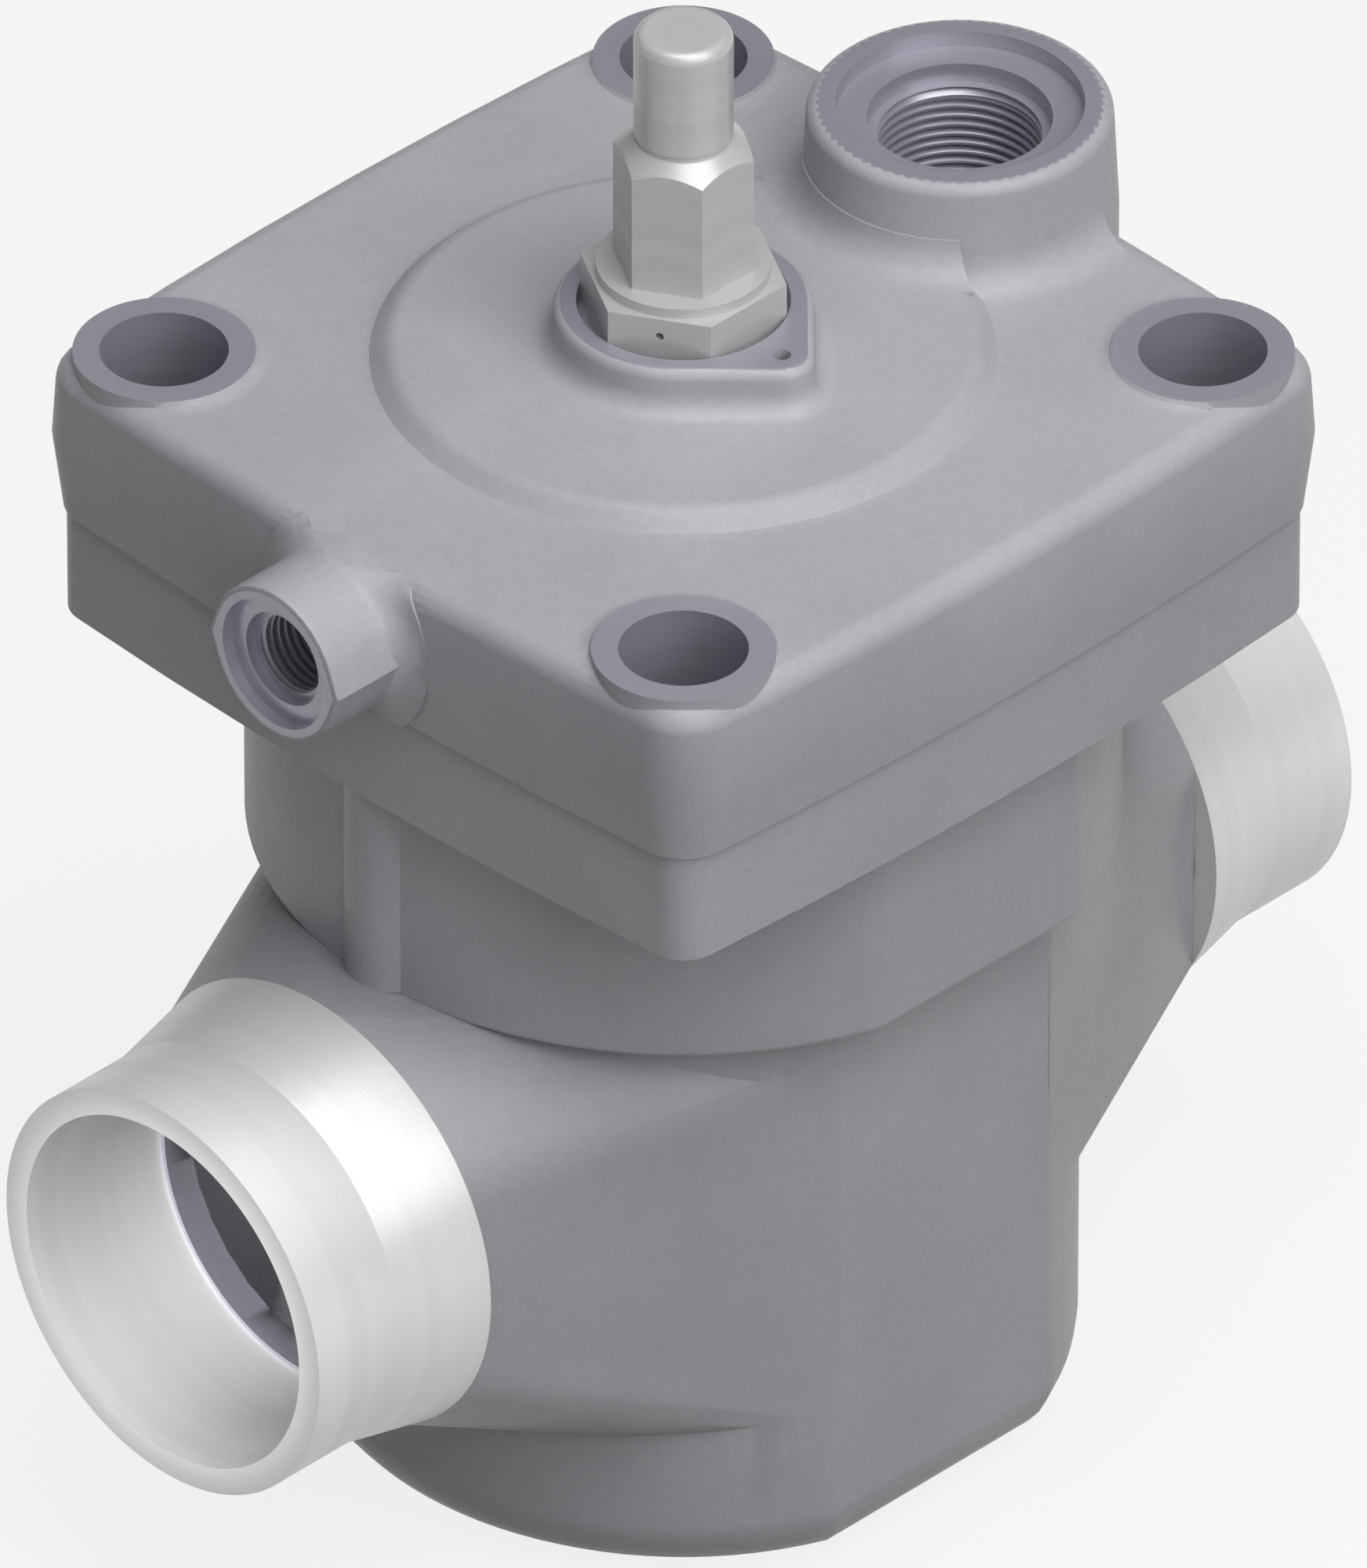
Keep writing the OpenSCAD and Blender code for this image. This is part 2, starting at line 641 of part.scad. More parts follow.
module top_cover() color([0.6, 0.6, 0.63]) {
    difference() {
        union() {
            cover_block();
            bolt_bosses();
            plateau();
            drop_boss();
            pilot_boss();
            gauge_boss();
        }
        // room over the piston, with the hub for the spindle thread
        difference() {
            union() {
                post(gasket_r + 0.1, joint_z - cut, recess_z);
                post(dome_r, joint_z - cut, dome_z);
            }
            post(hub_r, hub_z, dome_z + cut);
        }
        // pressure channel round the gasket face and up to both ports
        tube(channel_x + channel_d / 2, channel_x - channel_d / 2, recess_z - cut, recess_z + 2.5);
        translate([-channel_x, 0, recess_z]) cylinder(d = channel_d, h = parting_z - recess_z);
        translate([channel_x, 0, recess_z]) cylinder(d = channel_d, h = pilot_tap_end - recess_z);
        at_bolts() translate([0, 0, joint_z - cut]) cylinder(d = bolt_hole_d, h = cover_h + 2 * cut + bolt_boss_h);
        // pilot port
        translate([pilot_x, 0, 0]) {
            post(pilot_cb_r, pilot_top - pilot_cb_d, pilot_top + cut);
            post(pilot_relief_r, pilot_tap_top, pilot_top);
            post(pilot_tap_r, pilot_tap_end, pilot_top);
            post(channel_d + 2, pilot_tap_end - 5, pilot_top);
        }
        // slanting channel from the pilot port to the room over the piston
        translate([dome_r - 1, 0, dome_z - 1]) rotate([0, atan2(pilot_x - channel_d - dome_r, pilot_tap_end - dome_z), 0])
            cylinder(r = 2, h = norm([pilot_x - channel_d - dome_r, pilot_tap_end - dome_z]));
        // gauge port
        bar_x(gauge_cb_r, -gauge_x - cut, gauge_cb_d - gauge_x, parting_z);
        bar_x(gauge_relief_r, -gauge_x, -gauge_tap_x, parting_z);
        bar_x(gauge_tap_r, -gauge_x, gauge_tap_len - gauge_tap_x, parting_z);
        bar_x(2, -gauge_x, -channel_x, parting_z);
        // spindle thread, gland bore and pocket
        post(spindle_land_r + fit_gap, joint_z, drop_top);
        post(gland_r + fit_gap, gland_bottom, drop_top);
        post(gland_r + 2 * gland_seal_r + 0.1, gland_floor - 2 * gland_seal_r - 0.1, drop_top);
        post(gland_pocket_r, gland_floor, drop_top + cut);
        translate([0, -drop_tip_y - 0.1, drop_top - 4]) cylinder(d = wire_hole_d, h = 5);
    }
}

module cover_gasket() color([0.32, 0.34, 0.33]) {
    difference() {
        tube(gasket_r, gasket_bore, joint_z, recess_z);
        translate([-channel_x, 0, joint_z - cut]) cylinder(d = channel_d, h = gasket_t + 2 * cut);
    }
}

module module_cylinder() color([0.66, 0.67, 0.68]) {
    difference() {
        rotate_extrude() polygon([
            [seat_r, seat_z], [seat_r + 2.2, seat_z], [nose_or, seat_z + 2.2], [nose_or, cage_bottom],
            [cage_r, cage_bottom], [cage_r, shoulder_z], [module_or - 1, shoulder_z],
            [module_or, shoulder_z + 1], [module_or, joint_z - head_t], [head_r, joint_z - head_t],
            [head_r, joint_z], [piston_r + 1, joint_z], [piston_r, joint_z - 1], [piston_r, guide_top],
            [bush_r + fit_gap, guide_top], [bush_r + fit_gap, bush_bottom],
            [rod_r + 0.5, bush_bottom], [rod_r + 0.5, guide_bottom],
            [cage_bore, guide_bottom], [cage_bore, cage_bottom + 3], [seat_r, cage_bottom]]);
        seal_groove(module_or, module_seal_r, module_seal_z);
        seal_groove(nose_or, module_seal_r, nose_seal_z);
        // holes that open the room under the piston to the outlet
        for (a = [0:60:300]) rotate([0, 0, a + 30]) translate([(rod_r + spring_r) / 2 - 1, 0, guide_bottom - cut])
            cylinder(r = 2, h = guide_t + 2 * cut);
        for (i = [0:window_n - 1]) rotate([0, 0, 360 / window_n * (i + 0.5)]) {
            for (s = [-1, 1]) translate([0, s * (window_w - window_h) / 2, 0])
                bar_x(window_h / 2, cage_bore / 2, cage_r + cut, window_z);
            translate([cage_bore / 2, (window_h - window_w) / 2, window_z - window_h / 2])
                cube([cage_r, window_w - window_h, window_h]);
        }
    }
}

module module_upper_o_ring() color([0.13, 0.13, 0.14])
    ring_seal(module_or - module_seal_r, module_seal_r, module_seal_z);

module module_lower_o_ring() color([0.13, 0.13, 0.14])
    ring_seal(nose_or - module_seal_r, module_seal_r, nose_seal_z);

module guide_bush() color([0.72, 0.55, 0.3]) tube(bush_r, rod_r + fit_gap, bush_bottom, guide_top);

module servo_piston() color([0.7, 0.71, 0.72]) {
    difference() {
        rotate_extrude() polygon([
            [piston_bore, piston_bottom], [piston_or - 0.8, piston_bottom], [piston_or, piston_bottom + 0.8],
            [piston_or, piston_top - 0.8], [piston_or - 0.8, piston_top], [rod_end_r + fit_gap, piston_top],
            [rod_end_r + fit_gap, crown_under], [piston_bore, crown_under]]);
        for (k = [0, 1]) translate([0, 0, ring_z - ring_pitch * k])
            tube(piston_r + cut, piston_or - ring_depth, 0, ring_h);
        // bleed hole
        translate([0, piston_bore - 8, crown_under - cut]) cylinder(r = 1, h = crown_t + 2 * cut);
    }
}

module piston_ring(k) {
    translate([0, 0, ring_z - ring_pitch * k])
        tube(piston_or, piston_or - ring_depth + 0.1, 0.1, ring_h - 0.1);
}

module piston_ring_upper() color([0.9, 0.9, 0.86]) piston_ring(0);

module piston_ring_lower() color([0.9, 0.9, 0.86]) piston_ring(1);

module piston_rod() color([0.75, 0.76, 0.77]) {
    rotate_extrude() polygon([
        [0, rod_bottom], [rod_end_r - 0.8, rod_bottom], [rod_end_r, rod_bottom + 0.8],
        [rod_end_r, cone_hub_top], [rod_r, cone_hub_top], [rod_r, crown_under],
        [rod_end_r, crown_under], [rod_end_r, rod_top - 0.8], [rod_end_r - 0.8, rod_top], [0, rod_top]]);
}

// Hexagon nut on a threaded rod end
module rod_nut(z0) {
    corner = rod_nut_af / 2 / cos(30);
    difference() {
        intersection() {
            hexagon(rod_nut_af, z0, z0 + rod_nut_h);
            translate([0, 0, z0]) rotate_extrude() polygon([
                [0, 0], [corner - 1, 0], [corner + 0.2, 0.8], [corner + 0.2, rod_nut_h - 0.8],
                [corner - 1, rod_nut_h], [0, rod_nut_h]]);
        }
        post(rod_end_r + fit_gap, z0 - cut, z0 + rod_nut_h + cut);
    }
}

module piston_nut() color([0.62, 0.63, 0.64]) rod_nut(piston_top);

module cone_nut() color([0.62, 0.63, 0.64]) rod_nut(retainer_bottom - rod_nut_h);

module throttle_cone() color([0.74, 0.75, 0.76]) {
    difference() {
        rotate_extrude() polygon([
            [rod_end_r + fit_gap, disc_bottom], [cone_spigot_r, disc_bottom], [cone_spigot_r, disc_top],
            [cone_or, disc_top], [cone_or, cone_top - 0.8], [cone_or - 0.8, cone_top],
            [cone_or - 3, cone_top], [cone_or - 3, disc_top + 3.3], [rod_r + 2, disc_top + 3.3],
            [rod_r + 2, cone_hub_top], [rod_end_r + fit_gap, cone_hub_top]]);
        // flow notches that widen as the cone drops
        for (i = [0:5]) rotate([0, 0, 60 * i + 30])
            translate([cone_or - 6, 0, 0]) rotate([90, 0, 90]) linear_extrude(8) polygon([
                [-1, disc_top + 3.6], [1, disc_top + 3.6], [6.5, cone_top + cut], [-6.5, cone_top + cut]]);
    }
}

module seat_disc() color([0.92, 0.92, 0.88])
    tube(retainer_r - 0.3, cone_spigot_r + fit_gap, disc_bottom, disc_top);

module seat_retainer() color([0.62, 0.63, 0.64]) {
    difference() {
        rotate_extrude() polygon([
            [rod_end_r + fit_gap, retainer_bottom], [retainer_r - 3, retainer_bottom],
            [retainer_r, retainer_bottom + 2.5], [retainer_r, disc_bottom], [rod_end_r + fit_gap, disc_bottom]]);
        // spanner holes
        for (a = [0, 180]) rotate([0, 0, a]) translate([spanner_x, 0, retainer_bottom - cut]) cylinder(r = 2, h = 3 + cut);
    }
}

module spring_washer() color([0.66, 0.67, 0.68]) tube(spring_r + 4, spring_r - 4, guide_top, washer_top);

// Closing spring, with its end turns lying flat
module closing_spring() color([0.45, 0.46, 0.48]) {
    sides = 8;
    per_turn = 24;
    w = spring_wire / 2;
    rings = round(spring_turns * per_turn);
    z0 = washer_top + w + 0.02;
    rise = crown_under - w - 0.02 - z0;
    flat = 0.6 / spring_turns;
    points = [for (k = [0:rings]) let (
            t = k / rings,
            a = 360 * spring_turns * t,
            z = z0 + rise * max(0, min(1, (t - flat) / (1 - 2 * flat))))
        for (i = [0:sides - 1]) let (b = 360 * i / sides, r = spring_r + w * cos(b))
            [r * cos(a), r * sin(a), z + w * sin(b)]];
    walls = [for (k = [0:rings - 1]) for (i = [0:sides - 1]) let (j = (i + 1) % sides)
        each [[k * sides + i, k * sides + j, (k + 1) * sides + j],
              [k * sides + i, (k + 1) * sides + j, (k + 1) * sides + i]]];
    ends = [[for (i = [sides - 1:-1:0]) i], [for (i = [0:sides - 1]) rings * sides + i]];
    polyhedron(points, concat(walls, ends));
}

module gland_nut() color([0.75, 0.76, 0.78]) {
    difference() {
        union() {
            post(gland_r, gland_bottom, gland_floor + cut);
            hexagon(gland_af, gland_floor, gland_top);
            post(sleeve_r - fit_gap, gland_top - cut, sleeve_top);
        }
        post(spindle_land_r + fit_gap, gland_bottom - cut, backseat_z);
        post(spindle_r + fit_gap, backseat_z - cut, sleeve_top + cut);
        // sealing-wire hole in the side that faces -X, -Y
        rotate([0, 0, 210]) bar_x(0.6, gland_af / 2 - 3, gland_af / 2 + cut, gland_top - 2.8);
    }
}

module gland_o_ring() color([0.13, 0.13, 0.14])
    ring_seal(gland_r + fit_gap + gland_seal_r, gland_seal_r, gland_floor - gland_seal_r - 0.05);

module manual_spindle() color([0.74, 0.75, 0.76]) {
    difference() {
        union() {
            rotate_extrude() polygon([
                [0, spindle_tip], [spindle_r - 0.6, spindle_tip], [spindle_r, spindle_tip + 0.8],
                [spindle_r, spindle_tip + 1.5], [spindle_land_r, spindle_tip + 2.5],
                [spindle_land_r, land_top], [spindle_r, land_top], [spindle_r, spindle_top - square_len],
                [0, spindle_top - square_len]]);
            intersection() {
                translate([-spindle_square / 2, -spindle_square / 2, spindle_top - square_len - cut])
                    cube([spindle_square, spindle_square, square_len + cut]);
                post(spindle_r - 0.2, spindle_top - square_len - cut, spindle_top);
            }
        }
        seal_groove(spindle_land_r, spindle_seal_r, spindle_seal_z);
    }
}

module spindle_o_ring() color([0.13, 0.13, 0.14])
    ring_seal(spindle_land_r - spindle_seal_r, spindle_seal_r, spindle_seal_z);

module cap_washer() color([0.82, 0.82, 0.82]) tube(washer_d / 2, sleeve_r + 0.1, gland_top, washer_z);

module spindle_cap() color([0.72, 0.72, 0.72]) {
    corner = cap_af / 2 / cos(30);
    shoulder = corner - cap_end_r - 0.15;
    difference() {
        intersection() {
            union() {
                hexagon(cap_af, washer_z, cap_corner_z + shoulder + 0.1);
                post(cap_end_r, cap_corner_z, cap_top);
            }
            rotate_extrude() polygon(concat(
                [[0, washer_z], [corner + 0.5, washer_z], [corner + 0.5, cap_corner_z], [corner, cap_corner_z]],
                [[cap_end_r + 0.15, cap_corner_z + 0.9 * shoulder], [cap_end_r - 0.2, cap_corner_z + 0.9 * shoulder]],
                [[cap_end_r - 0.2, cap_corner_z + 0.9 * shoulder + 0.6], [cap_end_r, cap_corner_z + 0.9 * shoulder + 0.8]],
                arc(cap_end_r - cap_round, cap_top - cap_round, cap_round, 0, 90, 5),
                [[0, cap_top]]));
        }
        post(sleeve_r, washer_z - cut, sleeve_top + 1);
        post(spindle_r + 0.2, washer_z, cap_roof);
    }
}

valve_body();
inlet_weld_stub();
outlet_weld_stub();
top_cover();
cover_gasket();
module_cylinder();
module_upper_o_ring();
module_lower_o_ring();
guide_bush();
servo_piston();
piston_ring_upper();
piston_ring_lower();
piston_rod();
piston_nut();
throttle_cone();
seat_disc();
seat_retainer();
cone_nut();
spring_washer();
closing_spring();
gland_nut();
gland_o_ring();
manual_spindle();
spindle_o_ring();
cap_washer();
spindle_cap();
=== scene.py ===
"""Looks for a pilot-operated servo valve: castings, weld stubs, port threads and the capped spindle.

Shapes are worked in millimetres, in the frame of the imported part, and become metres when a piece is finished.
"""

import math
from collections import namedtuple

import bmesh
import bpy
from mathutils import Matrix, Vector


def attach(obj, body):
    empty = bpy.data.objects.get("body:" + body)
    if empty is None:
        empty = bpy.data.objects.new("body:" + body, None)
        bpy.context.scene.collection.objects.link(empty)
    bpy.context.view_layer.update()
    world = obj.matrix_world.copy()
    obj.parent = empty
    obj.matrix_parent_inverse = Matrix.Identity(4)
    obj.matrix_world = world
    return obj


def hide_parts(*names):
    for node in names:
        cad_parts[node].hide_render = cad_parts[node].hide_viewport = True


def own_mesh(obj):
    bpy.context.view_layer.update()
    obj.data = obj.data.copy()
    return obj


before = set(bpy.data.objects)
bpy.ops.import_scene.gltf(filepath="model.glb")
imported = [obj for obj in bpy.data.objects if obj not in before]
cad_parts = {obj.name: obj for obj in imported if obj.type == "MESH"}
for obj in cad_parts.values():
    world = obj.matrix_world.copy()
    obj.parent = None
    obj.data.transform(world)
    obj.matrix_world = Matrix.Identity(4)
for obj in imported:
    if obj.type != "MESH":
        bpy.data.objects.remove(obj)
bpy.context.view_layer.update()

# Places and sizes of the part, in millimetres
PIPE_Z = 61.3
STUB_BORE_R = 26.6
FLANGE_Z = 125.5
JOINT_Z = 142.4
PARTING_Z = 154.0
COVER_TOP = 166.2
BOLT_XY = 49.497
BOLT_BOSS_R = 12.4
PILOT_X = 52.9
GLAND_TOP = 180.4

# Crest radius, root radius and pitch of the threads in the castings
PILOT_THREAD = (11.188, 12.0, 1.5)
GAUGE_THREAD = (5.7225, 6.5785, 1.337)
BOLT_THREAD = (6.9, 8.0, 2.0)

# Both ends of the plain walls that the port threads replace
PILOT_WALL = (162.9, 176.9)
GAUGE_WALL = (-74.4, -62.4)

# Pitch of the threads of gland nut, spindle and cap, and of those of the piston rod
SPINDLE_PITCH = 1.5
ROD_PITCH = 1.25

# Points nearer than the first are joined, and a distance under the second counts as none, in millimetres
MERGE = 0.002
SAME = 0.02

# Degrees of bend from which an edge stays sharp, fewer for an upright edge of more than so many millimetres
SHARP = 28
UPRIGHT_SHARP = 14
UPRIGHT_LENGTH = 12

# Steps of a full turn, and a millimetre in metres
ROUND_STEPS = 72
MM = 0.001

X_AXIS = Vector((1, 0, 0))
Z_AXIS = Vector((0, 0, 1))


# Shader node groups and materials


def shader_group(name, inputs, outputs):
    """A node group with named sockets, and its two end nodes."""
    tree = bpy.data.node_groups.new(name, "ShaderNodeTree")
    for label, kind, value in inputs:
        socket = tree.interface.new_socket(label, in_out="INPUT", socket_type=kind)
        if value is not None:
            socket.default_value = value
    for label in outputs:
        tree.interface.new_socket(label, in_out="OUTPUT", socket_type="NodeSocketFloat")
    return tree, tree.nodes.new("NodeGroupInput"), tree.nodes.new("NodeGroupOutput")


def math_node(tree, operation, first, second=None, third=None):
    """A math node with numbers or sockets put into it; returns its result socket."""
    node = tree.nodes.new("ShaderNodeMath")
    node.operation = operation
    for k, value in enumerate((first, second, third)):
        if value is None:
            continue
        if isinstance(value, (int, float)):
            node.inputs[k].default_value = value
        else:
            tree.links.new(value, node.inputs[k])
    return node.outputs[0]


def noise(tree, place, scale, detail, roughness, dimensions="3D"):
    """A noise texture; place is a vector, or a number where it is one-dimensional."""
    node = tree.nodes.new("ShaderNodeTexNoise")
    node.noise_dimensions = dimensions
    tree.links.new(place, node.inputs["W" if dimensions == "1D" else "Vector"])
    if isinstance(scale, (int, float)):
        node.inputs["Scale"].default_value = scale
    else:
        tree.links.new(scale, node.inputs["Scale"])
    node.inputs["Detail"].default_value = detail
    node.inputs["Roughness"].default_value = roughness
    return node.outputs["Fac"]


def blend(tree, first, share, second):
    """The share of the first value, and the rest of the second."""
    rest = math_node(tree, "MULTIPLY", second, 1 - share)
    return math_node(tree, "MULTIPLY_ADD", first, share, rest)


def make_cast_skin():
    """Sand-cast surface: fine grain, shallow pits, and soft patches in tone."""
    tree, start, end = shader_group(
        "cast_skin",
        [
            ("Place", "NodeSocketVector", None),
            ("Grain", "NodeSocketFloat", 900.0),
            ("Patch", "NodeSocketFloat", 28.0),
        ],
        ["Height", "Tone", "Gloss"],
    )
    place, grain_scale = start.outputs["Place"], start.outputs["Grain"]
    swell_scale = math_node(tree, "MULTIPLY", grain_scale, 0.16)
    pit_scale = math_node(tree, "MULTIPLY", grain_scale, 0.55)

    grain = noise(tree, place, grain_scale, detail=3.0, roughness=0.62)
    swell = noise(tree, place, swell_scale, detail=2.0, roughness=0.5)
    patches = noise(tree, place, start.outputs["Patch"], detail=4.0, roughness=0.55)
    pits = tree.nodes.new("ShaderNodeTexVoronoi")
    pits.feature = "SMOOTH_F1"
    tree.links.new(place, pits.inputs["Vector"])
    tree.links.new(pit_scale, pits.inputs["Scale"])
    pit_depth = math_node(tree, "MINIMUM", pits.outputs["Distance"], 0.35)

    height = math_node(tree, "MULTIPLY_ADD", pit_depth, 0.9, grain)
    height = math_node(tree, "MULTIPLY_ADD", swell, 1.4, height)
    tree.links.new(math_node(tree, "MULTIPLY", height, 0.4), end.inputs["Height"])
    tree.links.new(blend(tree, grain, 0.35, patches), end.inputs["Tone"])
    tree.links.new(blend(tree, patches, 0.7, grain), end.inputs["Gloss"])
    return tree


def make_turning_marks():
    """Fine grooves left by a lathe round the Z axis of the place that comes in, on walls and on faces."""
    tree, start, end = shader_group(
        "turning_marks",
        [("Place", "NodeSocketVector", None), ("Pitch", "NodeSocketFloat", 0.0006)],
        ["Height", "Tone"],
    )
    parts = tree.nodes.new("ShaderNodeSeparateXYZ")
    tree.links.new(start.outputs["Place"], parts.inputs[0])
    squares = math_node(tree, "MULTIPLY", parts.outputs["X"], parts.outputs["X"])
    squares = math_node(tree, "MULTIPLY_ADD", parts.outputs["Y"], parts.outputs["Y"], squares)
    radius = math_node(tree, "SQRT", squares)
    travel = math_node(tree, "ADD", radius, parts.outputs["Z"])
    along = math_node(tree, "DIVIDE", travel, start.outputs["Pitch"])
    grooves = math_node(tree, "SINE", math_node(tree, "MULTIPLY", along, math.tau))
    uneven = noise(tree, along, 0.7, detail=3.0, roughness=0.7, dimensions="1D")
    tree.links.new(math_node(tree, "MULTIPLY_ADD", grooves, 0.18, uneven), end.inputs["Height"])
    slow = noise(tree, along, 0.11, detail=2.0, roughness=0.5, dimensions="1D")
    smear = noise(tree, start.outputs["Place"], 60.0, detail=3.0, roughness=0.6)
    tree.links.new(blend(tree, smear, 0.25, slow), end.inputs["Tone"])
    return tree


CAST_SKIN = make_cast_skin()
TURNING_MARKS = make_turning_marks()


def principled(name, metallic, specular=0.5):
    """A material whose one shader waits for its colour, roughness and normal."""
    material = bpy.data.materials.new(name)
    material.use_nodes = True
    tree = material.node_tree
    shader = tree.nodes["Principled BSDF"]
    shader.inputs["Metallic"].default_value = metallic
    shader.inputs["Specular IOR Level"].default_value = specular
    return material, tree, shader


def two_tones(tree, shader, mask, dark, light, rough):
    """Colour and roughness that both follow one mask; the dark end is the rougher one."""
    colours = tree.nodes.new("ShaderNodeMix")
    colours.data_type = "RGBA"
    colours.inputs["A"].default_value = (*dark, 1)
    colours.inputs["B"].default_value = (*light, 1)
    tree.links.new(mask, colours.inputs["Factor"])
    tree.links.new(colours.outputs["Result"], shader.inputs["Base Color"])
    spread = tree.nodes.new("ShaderNodeMapRange")
    spread.inputs["To Min"].default_value = max(rough)
    spread.inputs["To Max"].default_value = min(rough)
    tree.links.new(mask, spread.inputs["Value"])
    tree.links.new(spread.outputs["Result"], shader.inputs["Roughness"])


def bump(tree, shader, height, distance):
    """Bump of that many metres from full height to none."""
    node = tree.nodes.new("ShaderNodeBump")
    node.inputs["Distance"].default_value = distance
    node.inputs["Strength"].default_value = 1.0
    tree.links.new(height, node.inputs["Height"])
    tree.links.new(node.outputs["Normal"], shader.inputs["Normal"])


def wider(tree, mask, low, high):
    """The mask with the stretch from low to high spread over 0 to 1."""
    node = tree.nodes.new("ShaderNodeMapRange")
    node.inputs["From Min"].default_value = low
    node.inputs["From Max"].default_value = high
    tree.links.new(mask, node.inputs["Value"])
    return node.outputs["Result"]


def object_place(tree, moved=(0, 0, 0), turned_to_x=False, mirrored=False):
    """Object coordinates moved by so many millimetres to a turned feature, whose axis becomes Z."""
    source = tree.nodes.new("ShaderNodeTexCoord")
    place = source.outputs["Object"]
    if mirrored:
        fold = tree.nodes.new("ShaderNodeVectorMath")
        fold.operation = "ABSOLUTE"
        tree.links.new(place, fold.inputs[0])
        place = fold.outputs[0]
    shift = tree.nodes.new("ShaderNodeMapping")
    tree.links.new(place, shift.inputs["Vector"])
    if turned_to_x:
        shift.inputs["Rotation"].default_value = (0, math.pi / 2, 0)
    shift.inputs["Location"].default_value = [MM * distance for distance in moved]
    return shift.outputs["Vector"]


def skinned(name, grain):
    """A material with a cast skin that waits for its tones; returns the skin with it."""
    material, tree, shader = principled(name, metallic=0.0, specular=0.4)
    skin = tree.nodes.new("ShaderNodeGroup")
    skin.node_tree = CAST_SKIN
    skin.inputs["Grain"].default_value = grain
    tree.links.new(object_place(tree), skin.inputs["Place"])
    return material, tree, shader, skin


def casting(name, dark, light):
    """Zinc-coated casting with a matt sand skin."""
    material, tree, shader, skin = skinned(name, grain=900.0)
    mask = wider(tree, skin.outputs["Tone"], 0.36, 0.64)
    two_tones(tree, shader, mask, dark, light, rough=(0.39, 0.47))
    bump(tree, shader, skin.outputs["Height"], 0.00012)
    return material


def moulded(name, dark, light, rough=(0.45, 0.6), grain=700.0):
    """Rubber, plastic or fibre with a fine even grain."""
    material, tree, shader, skin = skinned(name, grain)
    two_tones(tree, shader, skin.outputs["Gloss"], dark, light, rough)
    bump(tree, shader, skin.outputs["Height"], 0.00003)
    return material


def turned(name, dark, light, metallic=0.9, rough=(0.24, 0.36), pitch=0.0006, depth=0.000012, **where):
    """Machined metal with the marks of the tool round one axis."""
    material, tree, shader = principled(name, metallic)
    marks = tree.nodes.new("ShaderNodeGroup")
    marks.node_tree = TURNING_MARKS
    marks.inputs["Pitch"].default_value = pitch
    tree.links.new(object_place(tree, **where), marks.inputs["Place"])
    mask = wider(tree, marks.outputs["Tone"], 0.2, 0.8)
    two_tones(tree, shader, mask, dark, light, rough)
    bump(tree, shader, marks.outputs["Height"], depth)
    return material


ON_PIPE_AXIS = {"moved": (-PIPE_Z, 0, 0), "turned_to_x": True}


def cut_face(name, **where):
    """A machined face of a casting, turned round one axis."""
    return turned(name, (0.37, 0.37, 0.42), (0.45, 0.45, 0.51), metallic=0.4, **where)


def weld_end(name, dark, light, metallic, rough):
    """Bright fine-turned steel on the axis of the pipe, in two plain greys."""
    return turned(name, (dark, dark, dark), (light, light, light), metallic=metallic, rough=rough,
                  pitch=0.0004, depth=0.000008, **ON_PIPE_AXIS)


cast_grey = casting("cast_grey", (0.38, 0.38, 0.405), (0.44, 0.44, 0.465))
cut_spindle = cut_face("cut_spindle")
cut_bolt_seat = cut_face("cut_bolt_seat", moved=(-BOLT_XY, -BOLT_XY, 0), mirrored=True)
cut_pilot = cut_face("cut_pilot", moved=(-PILOT_X, 0, 0))
cut_gauge = cut_face("cut_gauge", moved=(-PARTING_Z, 0, 0), turned_to_x=True)
cut_pipe = cut_face("cut_pipe", **ON_PIPE_AXIS)
stub_steel = weld_end("stub_steel", 0.82, 0.9, metallic=0.3, rough=(0.36, 0.44))
# The bore's steel is lighter and less metallic than the outside: painted light that brightens the shaded inside
# of the pipe.
stub_bore_painted_light = weld_end("stub_bore_painted_light", 0.86, 0.94, metallic=0.1, rough=(0.3, 0.4))
zinc_steel = turned("zinc_steel", (0.54, 0.54, 0.54), (0.62, 0.62, 0.62), metallic=0.2, rough=(0.28, 0.38),
                    depth=0.00001)
turned_steel = turned("turned_steel", (0.5, 0.5, 0.51), (0.66, 0.66, 0.67))
spring_steel = turned("spring_steel", (0.2, 0.2, 0.21), (0.3, 0.3, 0.32), rough=(0.35, 0.5))
bush_brass = turned("bush_brass", (0.55, 0.36, 0.13), (0.72, 0.5, 0.2))
seal_rubber = moulded("seal_rubber", (0.012, 0.012, 0.013), (0.03, 0.03, 0.032))
seat_plastic = moulded("seat_plastic", (0.72, 0.72, 0.68), (0.84, 0.84, 0.8), rough=(0.35, 0.45))
ring_plastic = moulded("ring_plastic", (0.2, 0.13, 0.07), (0.32, 0.22, 0.13))
gasket_fibre = moulded("gasket_fibre", (0.05, 0.06, 0.055), (0.11, 0.12, 0.115), rough=(0.75, 0.9),
                       grain=1600.0)


# Shapes


def merged_copy(node):
    """The mesh of a CAD node, in millimetres, with its loose triangles joined."""
    shape = bmesh.new()
    shape.from_mesh(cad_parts[node].data)
    bmesh.ops.scale(shape, vec=(1 / MM, 1 / MM, 1 / MM), verts=shape.verts)
    bmesh.ops.remove_doubles(shape, verts=shape.verts, dist=MERGE)
    return shape


